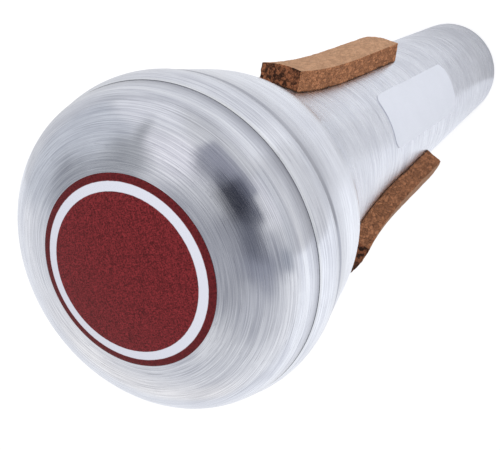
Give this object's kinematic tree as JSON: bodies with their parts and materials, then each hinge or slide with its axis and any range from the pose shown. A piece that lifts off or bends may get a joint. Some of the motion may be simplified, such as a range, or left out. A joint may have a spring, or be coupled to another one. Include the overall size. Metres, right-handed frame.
{
  "type": "trumpet pixie mute",
  "caption": "Small spun aluminium trumpet mute: domed cap, convex band, rounded shoulder, flare into a long cone with an open mouth, cork strips and two labels.",
  "frame": {"origin": "centre of the open mouth at the narrow end, on the plane of its rim", "axes": "+Z along the mute's axis, from the open mouth to the domed cap; -Y faces the white label on the cone"},
  "size_m": [0.0572, 0.0572, 0.1565],
  "materials": {
    "spun_body": "spun, fine lines round the axis, satin",
    "spun_cap": "spun, fine lines round the axis, satin",
    "cork": "raw granulated cork",
    "red_label": "printed, matt, with a white ring",
    "white_label": "plain, satin"
  },
  "bodies": {
    "root": {"body_shell": "spun_body", "end_cap": "spun_cap", "cork_strip_1": "cork", "cork_strip_2": "cork", "cork_strip_3": "cork", "round_label": "red_label", "cone_label": "white_label"}
  },
  "joints": []
}
